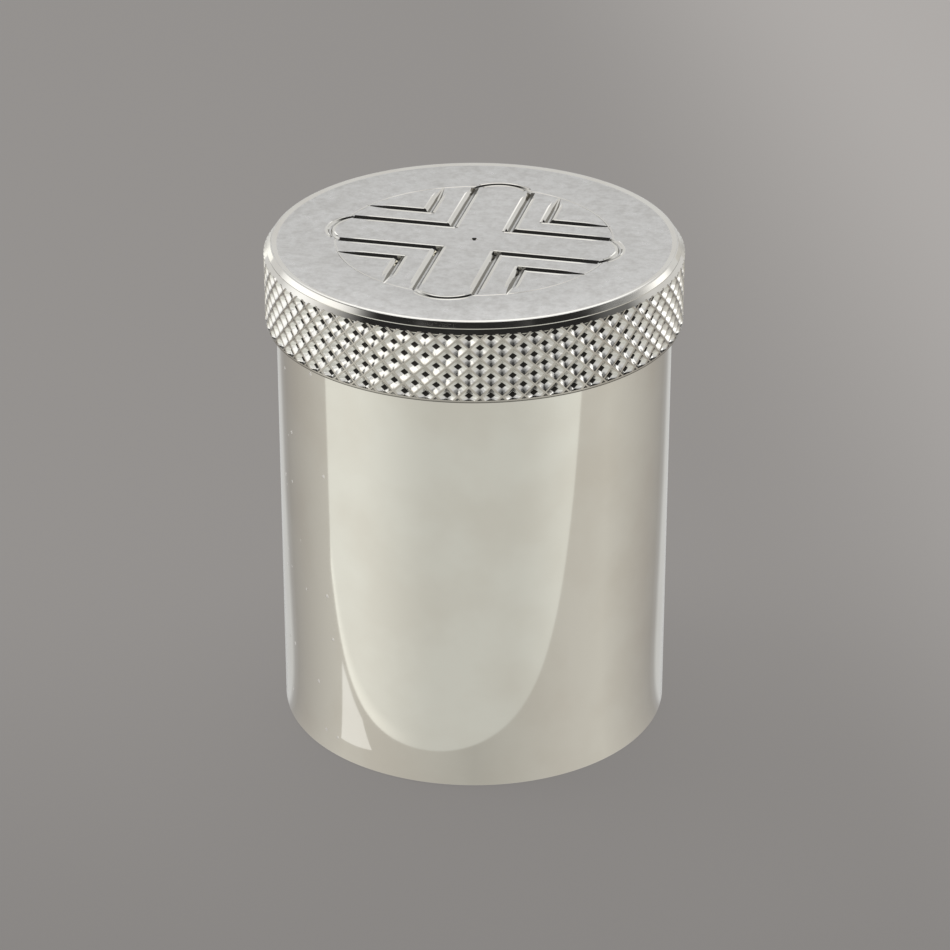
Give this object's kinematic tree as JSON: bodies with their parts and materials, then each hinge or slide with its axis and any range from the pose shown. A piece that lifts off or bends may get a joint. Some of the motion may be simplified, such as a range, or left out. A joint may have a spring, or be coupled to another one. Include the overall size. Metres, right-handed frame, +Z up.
{
  "type": "pocket oil stock",
  "caption": "Small plated cylinder for holy oil with a lift-out oil cup and wad inside, closed by a knurled screw cap with a rubber seal and an engraved cross.",
  "frame": {"origin": "centre of the flat base, on the surface that the object stands on", "axes": "+Z up along the cylinder's axis; +Y along one arm of the cross on the cap, +X along the next"},
  "size_m": [0.0285, 0.0284, 0.035],
  "materials": {
    "plate": "nickel plate on brass, mirror polished",
    "satin_plate": "nickel plate on brass, satin on the top, bright on the knurling",
    "gilt": "gilt, polished",
    "cotton": "loose cotton wool",
    "seal": "matt black rubber"
  },
  "bodies": {
    "vessel": {"body_tube": "plate", "base_disc": "plate", "neck_collar": "plate", "oil_cup": "gilt", "cotton_wad": "cotton"},
    "seal": {"sealing_disc": "seal"},
    "cap": {"screw_cap": "satin_plate"}
  },
  "joints": [
    {"name": "cap_lift", "type": "slide", "parent": "vessel", "child": "seal", "axis": [0, 0, 1], "range_m": [0, 0.005]},
    {"name": "cap_turn", "type": "hinge", "parent": "seal", "child": "cap", "pos_m": [0, 0, 0.0295], "axis": [0, 0, 1], "range_deg": [0, 1800]}
  ],
  "couplings": [
    {"joint": "cap_lift", "follows": "cap_turn", "m_per_rad": 0.00015915}
  ]
}
